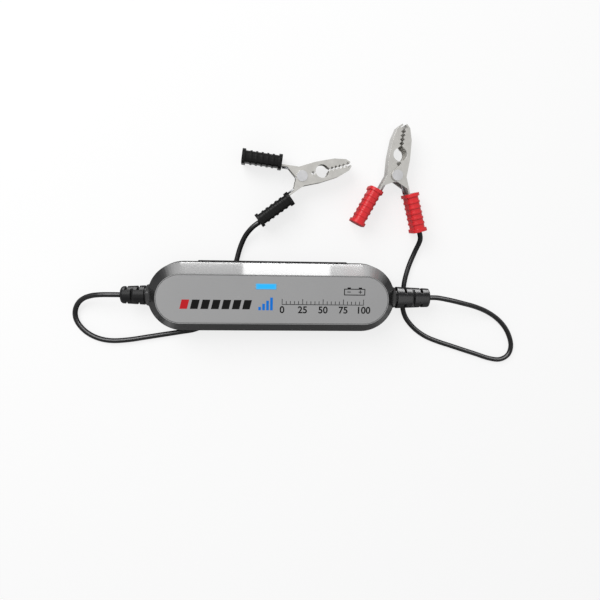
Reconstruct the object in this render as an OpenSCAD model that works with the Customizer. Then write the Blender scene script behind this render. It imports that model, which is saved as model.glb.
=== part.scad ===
// Clip-on battery tester with two short leads, lying on its back on a bench.
// Millimetres, +Z up, the lit face looks up, z = 0 is the bench top.
// The left lead is the negative one, the right lead is the positive one.

/* [Housing] */
// Length of the housing over its rounded ends
housing_length = 120; // [118:1:126]
// Width of the housing across its straight sides
housing_width = 33; // [32:0.5:36]
// Height of the rear shell, from its underside to the joint
rear_height = 7; // [6.8:0.1:9]
// Height of the upright band of the front bezel, above the joint
band_height = 4; // [1.6:0.1:5]
// Height of the sloping rim of the front bezel
bevel_height = 8; // [7:0.5:10]
// How far the sloping rim leans in, from the outline to the face
bevel_inset = 4.8; // [4:0.1:5]
// Wall thickness of both shells
wall = 2; // [1.8:0.1:2.2]
// Radius of the rounded bottom edge of the rear shell
bottom_round = 2.5; // [1:0.1:3]

/* [Face] */
// Width of the thin lip left round the face panel
face_lip = 0.3; // [0.2:0.05:0.9]
// Thickness of the face panel
face_thickness = 0.8; // [0.6:0.1:1.2]
// Length of the lit bar
light_length = 9.7; // [7:0.1:14]
// Width of the lit bar
light_width = 2.7; // [2.4:0.1:4.5]
// Place of the lit bar along the face
light_x = -3.6; // [-8:0.1:-2]
// Distance of the middle of the lit bar from the long edge of the face
light_from_edge = 5.4; // [5:0.1:6]

/* [Sides and feet] */
// Length of the raised grip on each long side
grip_length = 73; // [40:1:80]
// Height of the raised grip
grip_height = 3.6; // [2:0.1:3.8]
// How far the grip stands out of the wall
grip_proud = 0.5; // [0.3:0.1:1]
// Height of the four feet, which leaves room for a lead below
foot_height = 3; // [2.8:0.1:5]
// Radius of a foot
foot_radius = 3.8; // [3.2:0.1:4.2]
// Distance of the feet and housing screws from the middle, across the width
screw_y = 9.3; // [8.5:0.1:9.4]

/* [Circuit board] */
// Width of the circuit board
board_width = 22; // [21:0.5:24]
// Thickness of the circuit board
board_thickness = 1.6; // [1:0.1:1.6]

/* [Strain reliefs] */
// Length of the negative strain relief outside the housing
negative_relief_length = 13.2; // [12:0.1:20]
// Length of the positive strain relief outside the housing
positive_relief_length = 18.2; // [12:0.1:20]
// Radius of the negative strain relief at the housing
negative_relief_radius = 4.7; // [4.5:0.1:5.8]
// Radius of the positive strain relief at the housing
positive_relief_radius = 5.4; // [4.5:0.1:5.8]
// Radius of the negative strain relief at its free end
negative_relief_tip = 4.2; // [3.8:0.1:5]
// Radius of the positive strain relief at its free end
positive_relief_tip = 4.7; // [3.8:0.1:5]
// Radius of the round on the free end of the negative strain relief
negative_relief_round = 1.6; // [0.3:0.1:2.5]
// Radius of the round on the free end of the positive strain relief
positive_relief_round = 0.5; // [0.3:0.1:2.5]
// Radius of the moulded collar where it leaves the housing
collar_radius = 5.7; // [5.2:0.1:6.6]
// Radius of the moulded collar at its free end
collar_tip_radius = 5; // [4.8:0.1:5.6]

/* [Leads] */
// Diameter of a lead
lead_diameter = 2.5; // [2:0.1:2.6]

/* [Clips] */
// Angle between a handle and the middle line of a closed clip
handle_angle = 21.8; // [19:0.2:24]
// Length of a handle strip, from beside the pin to its end
handle_length = 28; // [25:0.5:32]
// Length of the jaws in front of the pin
jaw_length = 24; // [23:0.5:28]
// Half of the width of the wider jaw
jaw_half_width = 4.7; // [4.6:0.1:5.4]
// Thickness of the sheet metal
sheet = 0.8; // [0.6:0.1:0.9]
// Radius of the pin
pin_radius = 1.5; // [1.3:0.05:1.6]
// Radius of the round notch in the jaws
notch_radius = 3.2; // [2.6:0.1:3.3]
// Distance of the round notch from the pin
notch_x = 10; // [9:0.1:11]
// Number of teeth along a jaw
tooth_count = 9; // [6:1:12]
// Diameter of the spring wire
spring_wire = 1; // [0.8:0.05:1]
// Distance between neighbouring curls of the spring
spring_pitch = 1.5; // [1.45:0.05:1.55]
// Heading of the negative clip on the bench, in degrees from the length of the tester
negative_heading = 15; // [10:1:20]
// Heading of the positive clip on the bench, in degrees from the length of the tester
positive_heading = 84; // [80:1:90]

/* [Hidden] */
$fn = 64;

// Small clearances between pieces that fit into one another
slide = 0.1;
snug = 0.05;
// Overshoot that makes a cut pass clean through
past = 1;

// Heights of the housing, from the bench up
floor_top = foot_height + wall;
joint_z = foot_height + rear_height;
band_top = joint_z + band_height;
face_z = band_top + bevel_height;
panel_z = face_z - face_thickness;
ceiling_thickness = 1.8;
ceiling_z = panel_z - ceiling_thickness;

// Outline of the housing: two half rounds joined by straight sides
end_radius = housing_width / 2;
end_x = housing_length / 2 - end_radius;
inner_radius = end_radius - wall;
face_radius = end_radius - bevel_inset;
panel_radius = face_radius - face_lip;

// Tongue of the rear shell that steps into the front bezel
tongue = 0.9;
tongue_height = 1.2;
// Small bevels that leave a fine groove where the two shells meet
joint_groove = 0.3;

// Inside of the sloping rim where it meets the ceiling
ceiling_radius = end_radius - bevel_inset * (ceiling_z - band_top) / bevel_height - 1.15 * wall;

// Raised side grips
grip_depth = 0.7;
grip_below_joint = 0.6;
grip_z = joint_z - grip_below_joint - grip_height;

// Lit bar and its light pipe
light_y = face_radius - light_from_edge;
light_round = 0.5;
pipe_flange = 1.1;
pipe_lip = 1.1;
stem_inset = 1;
lamp_gap = 0.4;

// Housing screws, driven up through the feet
screw_radius = 1;
screw_head_radius = 2.2;
screw_head_height = 1.7;
screw_floor = 1;
screw_seat_z = foot_height + screw_floor;
screw_tip_gap = 2;
screw_tip_z = ceiling_z - screw_tip_gap;
recess_length = 3;
recess_width = 0.6;
recess_depth = 0.8;
boss_radius = 3;
front_boss_radius = 2.8;
boss_root = 0.5;
screw_past_end = 0.5;
screw_x = end_x + screw_past_end;

// Circuit board on its posts, between the screw bosses
board_to_boss = 3;
board_length = 2 * (screw_x - boss_radius - board_to_boss);
conductor_radius = 0.6;
board_top = joint_z - conductor_radius;
board_z = board_top - board_thickness;
board_round = 2;
board_screw_inset = 5;
board_screw_x = board_length / 2 - board_screw_inset;
board_screw_y = 7.5;
post_radius = 2.5;
post_root = 1;
board_screw_radius = 0.95;
board_screw_head = 1.2;
board_screw_head_radius = 1.8;
board_screw_depth = 2.2;
board_hole_radius = board_screw_radius + 0.15;

// Parts on the board: place, as a share of its length and then across, and size
radio_at = [0.25 * board_length, 0];
radio_size = [17, 13, 0.8];
can_at = [0.235 * board_length, 0];
can_size = [12, 11, 1.7];
chip_at = [0, -5];
chip_size = [7, 7, 1];
crystal_at = [0.085 * board_length, -5];
crystal_size = [3.2, 2.5, 0.8];
led_size = [3.2, 1.6, 0.9];
resistor_at = [-0.3 * board_length, 3.8];
resistor_size = [11, 5.4, 5.2];
transistor_at = [-0.125 * board_length, -6];
transistor_size = [6.6, 6.2, 2.3];
capacitor_at = [-0.16 * board_length, 2.6];
capacitor_radius = 2.8;
capacitor_height = 6.4;
fuse_inset = 5.4;
fuse_at = [board_length / 2 - fuse_inset, 0];
fuse_size = [4, 2.5, 1.6];
regulator_at = [0.05 * board_length, 2];
regulator_size = [6.5, 3.4, 1.6];

// Strain reliefs
lead_radius = lead_diameter / 2;
negative_relief_end = housing_length / 2 + negative_relief_length;
positive_relief_end = housing_length / 2 + positive_relief_length;
collar_proud = 0.8;
collar_depth = 4.5;
collar_flare = 1.4;
collar_end = housing_length / 2 + collar_proud;
collar_flare_x = housing_length / 2 - collar_flare;
collar_start = housing_length / 2 - collar_depth;
neck_radius = 3.9;
relief_flange_radius = 4.7;
relief_flange = 2;
slot_count = 3;
relief_slot = 1.2;
relief_core = 2.7;
relief_groove = 0.9;
relief_start = collar_end + relief_groove;
stripped_length = 8.1;
solder_length = 2.6;
conductor_end = board_length / 2 - solder_length;
inner_wire_end = conductor_end + stripped_length;

// Clips: heights across the sheet, counted from the middle plane of the clip
side_gap = 0.25;
inner_half_width = jaw_half_width - sheet - side_gap;
grip_wall = 1;
grip_half_width = jaw_half_width + grip_wall;
flange_rise = 0.8;
clip_z = grip_half_width + flange_rise;
ear_wall = 1.3;
ear_radius = pin_radius + ear_wall;
pin_head = 0.7;
pin_head_rim = 1.1;
pin_head_radius = pin_radius + pin_head_rim;

// The spring lies round the pin and its legs run along both handles
coil_clearance = 0.75;
coil_radius = pin_radius + coil_clearance + spring_wire / 2;
leg_length = 10;
leg_clearance = 0.1;
handle_offset = coil_radius + spring_wire / 2 + leg_clearance + sheet / 2;

// Unit steps along a handle and away from the other handle, for the half on the low side
along = [-cos(handle_angle), -sin(handle_angle)];
outward = [sin(handle_angle), -cos(handle_angle)];
handle_start = handle_offset * outward;

// Plastic grips on the handles: first and last place along the handle, and heights off it
sleeve_start = 10.4;
sleeve_past = 1.5;
sleeve_end = handle_length + sleeve_past;
sleeve_inside = -1.3;
sleeve_outside = 4.2;
grip_round = 2.2;
flange_length = 1.6;
rib_count = 5;
rib_length = 1;
rib_rise = 0.35;
wire_wall = 0.45;
wire_offset = sheet / 2 + lead_radius + wire_wall;
wire_end_start = 14;

// Where a lead enters its clip, and the middle line of the sheet from handle to tip
lead_entry = handle_start + sleeve_end * along + wire_offset * outward;
knee_step = 2;
plate_reach = 8;
knee = handle_start + knee_step * along;
jaw_back = [8, -4.6];
jaw_shoulder = [-7, -4];
jaw_nose = [-1.6, -2.4];
jaw_lip = [0, -0.7];
jaw_tip = [jaw_length, 0];
strip_line = [
    handle_start + handle_length * along,
    knee,
    jaw_back,
    jaw_tip + jaw_shoulder,
    jaw_tip + jaw_nose,
    jaw_tip + jaw_lip
];

// Teeth along the inner edge of a jaw
tooth_from = 5.6;
tooth_stop = 1.4;
tooth_to = jaw_length - tooth_stop;
tooth_pitch = (tooth_to - tooth_from) / tooth_count;
tooth_top = -0.1;
tooth_root = -1.1;

// Height of a lead that lies on the bench, and its straight run out of the strain relief
lay_z = lead_radius + snug;
lead_straight = 5;

// Hand-laid route of the negative lead, from its strain relief to its clip
negative_route = [
    [-negative_relief_end, 0, joint_z],
    [-negative_relief_end - lead_straight, 0, joint_z],
    [-83, -0.2, 9.2],
    [-88, -1, 7.2],
    [-92.6, -2.8, 4.9],
    [-96, -5.8, 2.8],
    [-97.8, -9.9, lay_z + 0.2],
    [-97.4, -14.2, lay_z],
    [-94.8, -18.4, lay_z],
    [-90.8, -21.7, lay_z],
    [-85.6, -23.9, lay_z],
    [-79.5, -24.7, lay_z],
    [-71.5, -24.1, lay_z],
    [-63.5, -22.8, lay_z],
    [-55, -21.4, lay_z],
    [-46.5, -20, lay_z],
    [-39, -18.6, lay_z],
    [-32.5, -15.2, lay_z],
    [-27.5, -9.5, lay_z],
    [-24, -2, lay_z],
    [-21.2, 6, lay_z],
    [-18.4, 16, lay_z],
    [-16.5, 23, lay_z + 0.4],
    [-13.9, 29, 3.4],
    [-10.4, 33.4, 5.7],
    [-7, 36, clip_z]
];

// Hand-laid route of the positive lead, from its strain relief to its clip
positive_route = [
    [positive_relief_end, 0, joint_z],
    [positive_relief_end + lead_straight, 0, joint_z],
    [90.4, -1.3, 9.3],
    [97.5, -3, 7.9],
    [104.9, -5, 5.7],
    [112.4, -7.9, 3.3],
    [119, -11.8, lay_z + 0.4],
    [123.8, -16.4, lay_z],
    [126.9, -21.6, lay_z],
    [128.3, -27, lay_z],
    [127, -31.8, lay_z],
    [122.6, -34.3, lay_z],
    [116.6, -33.7, lay_z],
    [109, -31.3, lay_z],
    [102, -29.1, lay_z],
    [94.8, -26.8, lay_z],
    [87.6, -24.5, lay_z],
    [80.8, -21.7, lay_z],
    [74.6, -17.4, lay_z],
    [69.8, -11.7, lay_z],
    [67.8, -5.4, lay_z],
    [67.8, 1, lay_z],
    [68.4, 8, lay_z],
    [70.2, 15.5, lay_z + 0.1],
    [72.6, 22.5, lay_z + 0.9],
    [74.2, 28.8, 5],
    [73, 33.2, clip_z]
];

// Unit vector, and the level direction to the right of a heading
function unit(v) = v / norm(v);
function right_of(heading) = unit([heading[1], -heading[0], 0]);

// One ring of points round a place on a route, square to the heading there
function ring(place, heading, radius, sides) =
    let (across = right_of(heading), up = unit(cross(across, heading)))
    [for (k = [0:sides - 1])
        place + radius * (cos(360 * k / sides) * across + sin(360 * k / sides) * up)];

// Heading of a route at one of its points; both ends are told theirs
function heading_at(route, i, first, last) =
    i == 0 ? first : i == len(route) - 1 ? last : route[i + 1] - route[i - 1];

// Triangles that join ring i to ring i + 1
function skin(i, sides) =
    [for (k = [0:sides - 1], half = [0, 1])
        let (a = i * sides + k, b = i * sides + (k + 1) % sides)
        half == 0 ? [a, b, b + sides] : [a, b + sides, a + sides]];

// A closed tube along a route, as one solid
module tube(route, radius, sides, first, last) {
    count = len(route);
    points = [for (i = [0:count - 1])
        each ring(route[i], heading_at(route, i, first, last), radius, sides)];
    walls = [for (i = [0:count - 2]) each skin(i, sides)];
    start_cap = [[for (k = [sides - 1:-1:0]) k]];
    end_cap = [[for (k = [0:sides - 1]) (count - 1) * sides + k]];
    polyhedron(points, concat(walls, start_cap, end_cap));
}

// Band of even thickness along a line of points in the plane
function normal_at(line, i) =
    let (a = line[max(i - 1, 0)], b = line[min(i + 1, len(line) - 1)], d = unit(b - a))
    [-d[1], d[0]];
function ribbon(line, thickness) = concat(
    [for (i = [0:len(line) - 1]) line[i] + thickness / 2 * normal_at(line, i)],
    [for (i = [len(line) - 1:-1:0]) line[i] - thickness / 2 * normal_at(line, i)]
);

// A profile carried round the outline: half a turn at each end, straight in between
module around(x) {
    for (side = [-1, 1])
        translate([side * x, 0, 0])
            rotate([0, 0, -90 * side])
                rotate_extrude(angle = 180)
                    children();
    translate([-x, 0, 0])
        rotate([90, 0, 90])
            linear_extrude(2 * x) {
                children();
                mirror([1, 0])
                    children();
            }
}

// A cylinder that runs along the tester from one place to another, at joint height
module rod(radius, from, to) {
    translate([from, 0, joint_z])
        rotate([0, 90, 0])
            cylinder(r = radius, h = to - from);
}

// Copies at the left and right end
module both_ends() {
    children();
    mirror([1, 0, 0])
        children();
}

// Copies at the four places given by x and y
module four_places(x, y) {
    for (i = [-1, 1], j = [-1, 1])
        translate([i * x, j * y, 0])
            children();
}

// Flat rectangle with round corners, centred
module rounded(length, width, radius) {
    square([length - 2 * radius, width], center = true);
    square([length, width - 2 * radius], center = true);
    for (i = [-1, 1], j = [-1, 1])
        translate([i * (length / 2 - radius), j * (width / 2 - radius)])
            circle(radius);
}

// A box that stands on the board, centred on its place
module on_board(place, size) {
    translate([place[0] - size[0] / 2, place[1] - size[1] / 2, board_top])
        cube(size);
}

// Half section of the rear shell, outside wall, floor and tongue
module rear_profile() {
    round_x = end_radius - bottom_round;
    round_z = foot_height + bottom_round;
    difference() {
        union() {
            translate([0, foot_height])
                square([round_x, rear_height]);
            translate([0, round_z])
                square([end_radius, rear_height - bottom_round]);
            translate([round_x, round_z])
                circle(bottom_round);
            translate([inner_radius, joint_z - tongue_height])
                square([tongue, 2 * tongue_height]);
        }
        translate([0, floor_top])
            square([inner_radius, rear_height + past]);
        polygon([
            [end_radius - joint_groove, joint_z],
            [end_radius, joint_z - joint_groove],
            [end_radius + past, joint_z - joint_groove],
            [end_radius + past, joint_z]
        ]);
    }
}

// Half section of the front bezel, with the step for the tongue and the bed of the panel
module front_profile() {
    step = inner_radius + tongue + snug;
    step_z = joint_z + tongue_height + slide;
    polygon([
        [0, panel_z],
        [panel_radius, panel_z],
        [panel_radius, face_z],
        [face_radius, face_z],
        [end_radius, band_top],
        [end_radius, joint_z + joint_groove],
        [end_radius - joint_groove, joint_z],
        [step, joint_z],
        [step, step_z],
        [inner_radius, step_z],
        [inner_radius, band_top],
        [ceiling_radius, ceiling_z],
        [0, ceiling_z]
    ]);
}

// Moulded collars for the strain reliefs, on one side of the joint only
module collars(low, high) {
    both_ends()
        intersection() {
            translate([0, 0, joint_z])
                rotate([0, 90, 0])
                    rotate_extrude()
                        polygon([
                            [0, collar_start],
                            [collar_radius, collar_start],
                            [collar_radius, collar_flare_x],
                            [collar_tip_radius, collar_end],
                            [0, collar_end]
                        ]);
            translate([0, -housing_width, low])
                cube([housing_length, 2 * housing_width, high - low]);
        }
}

// Holes in the collars that the necks of the strain reliefs run through
module neck_holes() {
    both_ends()
        rod(neck_radius + slide, collar_start - past, collar_end + past);
}

// Both raised side grips
module grip_bars() {
    for (side = [0, 1])
        mirror([0, side, 0])
            translate([-grip_length / 2, end_radius - grip_depth, grip_z])
                cube([grip_length, grip_depth + grip_proud, grip_height]);
}

module rear_shell() {
    color("#3a3a3c")
        difference() {
            union() {
                around(end_x)
                    rear_profile();
                collars(foot_height, joint_z);
                four_places(screw_x, screw_y)
                    cylinder(r = foot_radius, h = floor_top);
                four_places(screw_x, screw_y)
                    translate([0, 0, foot_height])
                        cylinder(r = boss_radius, h = rear_height);
                four_places(board_screw_x, board_screw_y)
                    translate([0, 0, floor_top - post_root])
                        cylinder(r = post_radius, h = board_z - floor_top + post_root);
            }
            both_ends()
                translate([collar_start - wall, -collar_radius - past, joint_z])
                    cube([housing_length, 2 * (collar_radius + past), tongue_height + past]);
            neck_holes();
            grip_bars();
            four_places(screw_x, screw_y)
                translate([0, 0, -past])
                    cylinder(r = screw_head_radius + slide, h = screw_seat_z + past);
            four_places(screw_x, screw_y)
                cylinder(r = screw_radius + snug, h = joint_z + past);
            four_places(board_screw_x, board_screw_y)
                translate([0, 0, board_z - board_screw_depth - slide])
                    cylinder(r = board_screw_radius + snug, h = board_screw_depth + past);
        }
}

module front_bezel() {
    color("#404044")
        difference() {
            union() {
                around(end_x)
                    front_profile();
                collars(joint_z, joint_z + collar_radius);
                four_places(screw_x, screw_y)
                    translate([0, 0, joint_z])
                        cylinder(r = front_boss_radius, h = ceiling_z - joint_z + boss_root);
            }
            neck_holes();
            four_places(screw_x, screw_y)
                translate([0, 0, joint_z - past])
                    cylinder(r = screw_radius + snug, h = screw_tip_z - joint_z + past + boss_root);
            translate([light_x, light_y, ceiling_z - past])
                linear_extrude(face_z)
                    rounded(light_length + 2 * slide, light_width + 2 * slide, light_round);
        }
}

module face_panel() {
    edge = panel_radius - slide;
    chamfer = 0.15;
    color("#a1a1a1")
        difference() {
            around(end_x)
                polygon([
                    [0, panel_z],
                    [edge, panel_z],
                    [edge, face_z - chamfer],
                    [edge - chamfer, face_z],
                    [0, face_z]
                ]);
            translate([light_x, light_y, panel_z - past])
                linear_extrude(face_thickness + 2 * past)
                    rounded(light_length + 2 * slide, light_width + 2 * slide, light_round);
        }
}

// Light pipe: the lit window, a flange under the ceiling and a stem down to the lamp
module light_bar() {
    stem_z = board_top + led_size[2] + lamp_gap;
    flange_z = ceiling_z - pipe_flange;
    color("#34bdff")
        translate([light_x, light_y, 0]) {
            translate([0, 0, ceiling_z])
                linear_extrude(face_z - ceiling_z)
                    rounded(light_length, light_width, light_round);
            translate([0, 0, flange_z])
                linear_extrude(pipe_flange)
                    rounded(light_length + 2 * pipe_lip, light_width + 2 * pipe_lip, light_round);
            translate([0, 0, stem_z])
                linear_extrude(flange_z - stem_z)
                    square([light_length - 2 * stem_inset, light_width - stem_inset], center = true);
        }
}

module side_grips() {
    color("#2b2b2d")
        grip_bars();
}

// Four equal screws with cross-shaped recesses, heads down in the feet
module housing_screws() {
    head_z = screw_seat_z - screw_head_height;
    color("#9a9a9e")
        four_places(screw_x, screw_y)
            difference() {
                union() {
                    translate([0, 0, head_z])
                        cylinder(r = screw_head_radius, h = screw_head_height);
                    translate([0, 0, screw_seat_z])
                        cylinder(r = screw_radius, h = screw_tip_z - screw_seat_z);
                }
                for (turn = [0, 90])
                    rotate([0, 0, turn])
                        translate([-recess_length / 2, -recess_width / 2, head_z - past])
                            cube([recess_length, recess_width, past + recess_depth]);
            }
}

module circuit_board() {
    color("#1f6b3a")
        translate([0, 0, board_z])
            difference() {
                linear_extrude(board_thickness)
                    rounded(board_length, board_width, board_round);
                four_places(board_screw_x, board_screw_y)
                    translate([0, 0, -past])
                        cylinder(r = board_hole_radius, h = board_thickness + 2 * past);
            }
}

module board_screws() {
    color("#b0b0b4")
        four_places(board_screw_x, board_screw_y) {
            translate([0, 0, board_top])
                cylinder(r = board_screw_head_radius, h = board_screw_head);
            translate([0, 0, board_z - board_screw_depth])
                cylinder(r = board_screw_radius, h = board_thickness + board_screw_depth);
        }
}

module radio_module() {
    color("#17492a")
        on_board(radio_at, radio_size);
}

// Pressed metal lid on the radio module
module radio_can() {
    color("#c4c6c8")
        translate([0, 0, radio_size[2]])
            on_board(can_at, can_size);
}

module measuring_chip() {
    color("#202022")
        on_board(chip_at, chip_size);
}

module crystal() {
    color("#c8c9cb")
        on_board(crystal_at, crystal_size);
}

module status_led() {
    color("#e8f4ff")
        on_board([light_x, light_y], led_size);
}

// Two equal ceramic resistors that load the battery during a test
module load_resistors() {
    color("#d9d6cd")
        for (side = [-1, 1])
            on_board([resistor_at[0], side * resistor_at[1]], resistor_size);
}

module load_transistor() {
    color("#1c1c1e")
        on_board(transistor_at, transistor_size);
}

module input_capacitor() {
    color("#2d3038")
        translate([capacitor_at[0], capacitor_at[1], board_top])
            cylinder(r = capacitor_radius, h = capacitor_height);
}

module input_fuse() {
    color("#e4e0d2")
        on_board(fuse_at, fuse_size);
}

module regulator() {
    color("#222225")
        on_board(regulator_at, regulator_size);
}

// Half section of a strain relief: flange inside, neck, then a tail with a round end
module relief_profile(tail_end, root_radius, tip_radius, end_round) {
    flange_x = collar_start - slide - relief_flange;
    bore = lead_radius + snug;
    round_x = tail_end - end_round;
    round_r = tip_radius - end_round;
    polygon([
        [bore, flange_x],
        [relief_flange_radius, flange_x],
        [relief_flange_radius, flange_x + relief_flange],
        [neck_radius, flange_x + relief_flange],
        [neck_radius, relief_start],
        [root_radius, relief_start],
        [tip_radius, round_x],
        [bore, round_x]
    ]);
    translate([bore, relief_start])
        square([round_r - bore, tail_end - relief_start]);
    translate([round_r, round_x])
        intersection() {
            circle(end_round);
            square(end_round);
        }
}

// Strain relief at the right end, with slots cut by turns from two sides
module relief(tail_end, root_radius, tip_radius, end_round) {
    slot_step = (tail_end - relief_start) / (slot_count + 1);
    difference() {
        translate([0, 0, joint_z])
            rotate([0, 90, 0])
                rotate_extrude()
                    relief_profile(tail_end, root_radius, tip_radius, end_round);
        for (k = [1:slot_count], side = [0, 180])
            translate([relief_start + k * slot_step, 0, joint_z])
                rotate([90 * k + side, 0, 0])
                    translate([-relief_slot / 2, -root_radius - past, relief_core])
                        cube([relief_slot, 2 * (root_radius + past), root_radius]);
    }
}

module positive_strain_relief() {
    color("#262628")
        relief(
            positive_relief_end, positive_relief_radius,
            positive_relief_tip, positive_relief_round
        );
}

module negative_strain_relief() {
    color("#262628")
        mirror([1, 0, 0])
            relief(
                negative_relief_end, negative_relief_radius,
                negative_relief_tip, negative_relief_round
            );
}

module positive_inner_wire() {
    color("#18181a")
        rod(lead_radius, inner_wire_end, positive_relief_end);
}

module negative_inner_wire() {
    color("#18181a")
        mirror([1, 0, 0])
            rod(lead_radius, inner_wire_end, negative_relief_end);
}

module positive_conductor() {
    color("#c07a48")
        rod(conductor_radius, conductor_end, inner_wire_end);
}

module negative_conductor() {
    color("#c07a48")
        mirror([1, 0, 0])
            rod(conductor_radius, conductor_end, inner_wire_end);
}

// Heading of a lead where it runs into its clip
function into_clip(heading) =
    [cos(heading + handle_angle), sin(heading + handle_angle), 0];

module negative_lead() {
    color("#161618")
        tube(negative_route, lead_radius, 8, [-1, 0, 0], into_clip(negative_heading));
}

module positive_lead() {
    color("#161618")
        tube(positive_route, lead_radius, 8, [1, 0, 0], into_clip(positive_heading));
}

// Puts a clip on the bench so that its lead entry is at the end of a route
module clip_at(route, heading) {
    translate(route[len(route) - 1])
        rotate([0, 0, heading])
            translate([-lead_entry[0], -lead_entry[1], 0])
                children();
}

// The same for things measured along the handle of the fixed half
module at_handle() {
    translate([handle_start[0], handle_start[1], 0])
        rotate([0, 0, 180 + handle_angle])
            children();
}

// Side plate of a jaw: ear round the pin, toothed edge and a round notch
module side_plate() {
    teeth = [for (k = [0:tooth_count - 1], part = [0, 0.5])
        [tooth_from + (k + part) * tooth_pitch, part == 0 ? tooth_root : tooth_top]];
    ear_edge = pin_radius + ear_wall / 3;
    rear_edge = handle_start + plate_reach * along;
    difference() {
        union() {
            circle(ear_radius);
            polygon(concat(
                [rear_edge, [-ear_edge, ear_edge], [ear_edge, ear_edge]],
                teeth,
                [[tooth_to, tooth_root]],
                [for (i = [len(strip_line) - 2:-1:1]) strip_line[i]]
            ));
        }
        circle(pin_radius + snug);
        translate([notch_x, 0])
            circle(notch_radius);
    }
}

// Half of a clip: a bent strip with a side plate on each edge
module jaw_half(half_width) {
    translate([0, 0, -half_width])
        linear_extrude(2 * half_width)
            polygon(ribbon(strip_line, sheet));
    for (z = [-half_width, half_width - sheet])
        translate([0, 0, z])
            linear_extrude(sheet)
                side_plate();
}

module fixed_jaw() {
    color("#b8babd")
        jaw_half(jaw_half_width);
}

module moving_jaw() {
    color("#b8babd")
        mirror([0, 1, 0])
            jaw_half(inner_half_width);
}

// Riveted pin through both halves
module pin() {
    color("#a4a6aa") {
        translate([0, 0, -jaw_half_width - pin_head])
            cylinder(r = pin_radius, h = 2 * (jaw_half_width + pin_head));
        for (z = [-jaw_half_width - pin_head, jaw_half_width])
            translate([0, 0, z])
                cylinder(r = pin_head_radius, h = pin_head);
    }
}

// Middle line of the spring: low leg, curls round the pin, high leg
spring_turn = 900 - 2 * handle_angle;
spring_rise = spring_pitch * spring_turn / 360;
spring_steps = round(spring_turn / 45);
function curl_at(k) =
    let (turn = spring_turn * k / spring_steps, angle = 270 + handle_angle + turn)
    [coil_radius * cos(angle), coil_radius * sin(angle), spring_rise * (k / spring_steps - 0.5)];
low_leg = [along[0], along[1], 0];
high_leg = [along[0], -along[1], 0];
spring_line = concat(
    [curl_at(0) + leg_length * low_leg, curl_at(0) + leg_length / 2 * low_leg],
    [for (k = [0:spring_steps]) curl_at(k)],
    [curl_at(spring_steps) + leg_length / 2 * high_leg, curl_at(spring_steps) + leg_length * high_leg]
);

// Least gap between curls, from points that are half a curl or more apart
spring_gaps = [for (i = [0:len(spring_line) - 1], j = [i + 5:len(spring_line) - 1])
    if (j < len(spring_line)) norm(spring_line[i] - spring_line[j]) - spring_wire];
echo(least_gap_in_spring = min(spring_gaps));

module spring() {
    color("#8d9096")
        tube(spring_line, spring_wire / 2, 6, -low_leg, high_leg);
}

// Bar of a plastic grip along its handle, with round corners and standing out by a rise
module sleeve_bar(from, to, rise) {
    inside = sleeve_inside - rise;
    outside = sleeve_outside + rise;
    translate([from, (outside + inside) / 2, 0])
        rotate([90, 0, 90])
            linear_extrude(to - from)
                rounded(outside - inside, 2 * (grip_half_width + rise), grip_round + rise);
}

// Plastic grip on a handle: flanges at both ends, ribs between and a pocket for the strip
module grip(half_width) {
    pocket = half_width + slide;
    ribs_from = sleeve_start + flange_length;
    ribs_to = sleeve_end - flange_length;
    rib_pitch = (ribs_to - ribs_from) / (rib_count + 1);
    difference() {
        union() {
            sleeve_bar(sleeve_start, ribs_from, flange_rise);
            sleeve_bar(ribs_from - flange_length / 2, ribs_to + flange_length / 2, 0);
            sleeve_bar(ribs_to, sleeve_end, flange_rise);
            for (k = [1:rib_count])
                translate([ribs_from + k * rib_pitch, 0, 0])
                    sleeve_bar(-rib_length / 2, rib_length / 2, rib_rise);
        }
        translate([sleeve_start - past, -sheet / 2 - snug, -pocket])
            cube([handle_length + slide - sleeve_start + past, sheet + 2 * snug, 2 * pocket]);
    }
}

// Insulated end of the lead inside the grip, grown by a clearance for its bore
module lead_end(grow) {
    translate([wire_end_start - grow, wire_offset, 0])
        rotate([0, 90, 0])
            cylinder(r = lead_radius + grow, h = sleeve_end - wire_end_start + 2 * grow);
}

module fixed_grip() {
    at_handle()
        difference() {
            grip(jaw_half_width);
            lead_end(snug);
        }
}

module moving_grip() {
    mirror([0, 1, 0])
        at_handle()
            grip(inner_half_width);
}

module wire_end() {
    color("#18181a")
        at_handle()
            lead_end(0);
}

module negative_clip() {
    clip_at(negative_route, negative_heading)
        children();
}

module positive_clip() {
    clip_at(positive_route, positive_heading)
        children();
}

rear_shell();
front_bezel();
face_panel();
light_bar();
side_grips();
housing_screws();
circuit_board();
board_screws();
radio_module();
radio_can();
measuring_chip();
crystal();
status_led();
load_resistors();
load_transistor();
input_capacitor();
input_fuse();
regulator();
negative_strain_relief();
positive_strain_relief();
negative_inner_wire();
positive_inner_wire();
negative_conductor();
positive_conductor();
negative_lead();
positive_lead();
negative_clip() fixed_jaw();  // negative_clip_fixed_jaw
negative_clip() moving_jaw();  // negative_clip_moving_jaw
negative_clip() pin();  // negative_clip_pin
negative_clip() spring();  // negative_clip_spring
negative_clip() color("#121214") fixed_grip();  // negative_clip_fixed_grip
negative_clip() color("#121214") moving_grip();  // negative_clip_moving_grip
negative_clip() wire_end();  // negative_clip_wire_end
positive_clip() fixed_jaw();  // positive_clip_fixed_jaw
positive_clip() moving_jaw();  // positive_clip_moving_jaw
positive_clip() pin();  // positive_clip_pin
positive_clip() spring();  // positive_clip_spring
positive_clip() color("#c8262d") fixed_grip();  // positive_clip_fixed_grip
positive_clip() color("#c8262d") moving_grip();  // positive_clip_moving_grip
positive_clip() wire_end();  // positive_clip_wire_end
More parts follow.
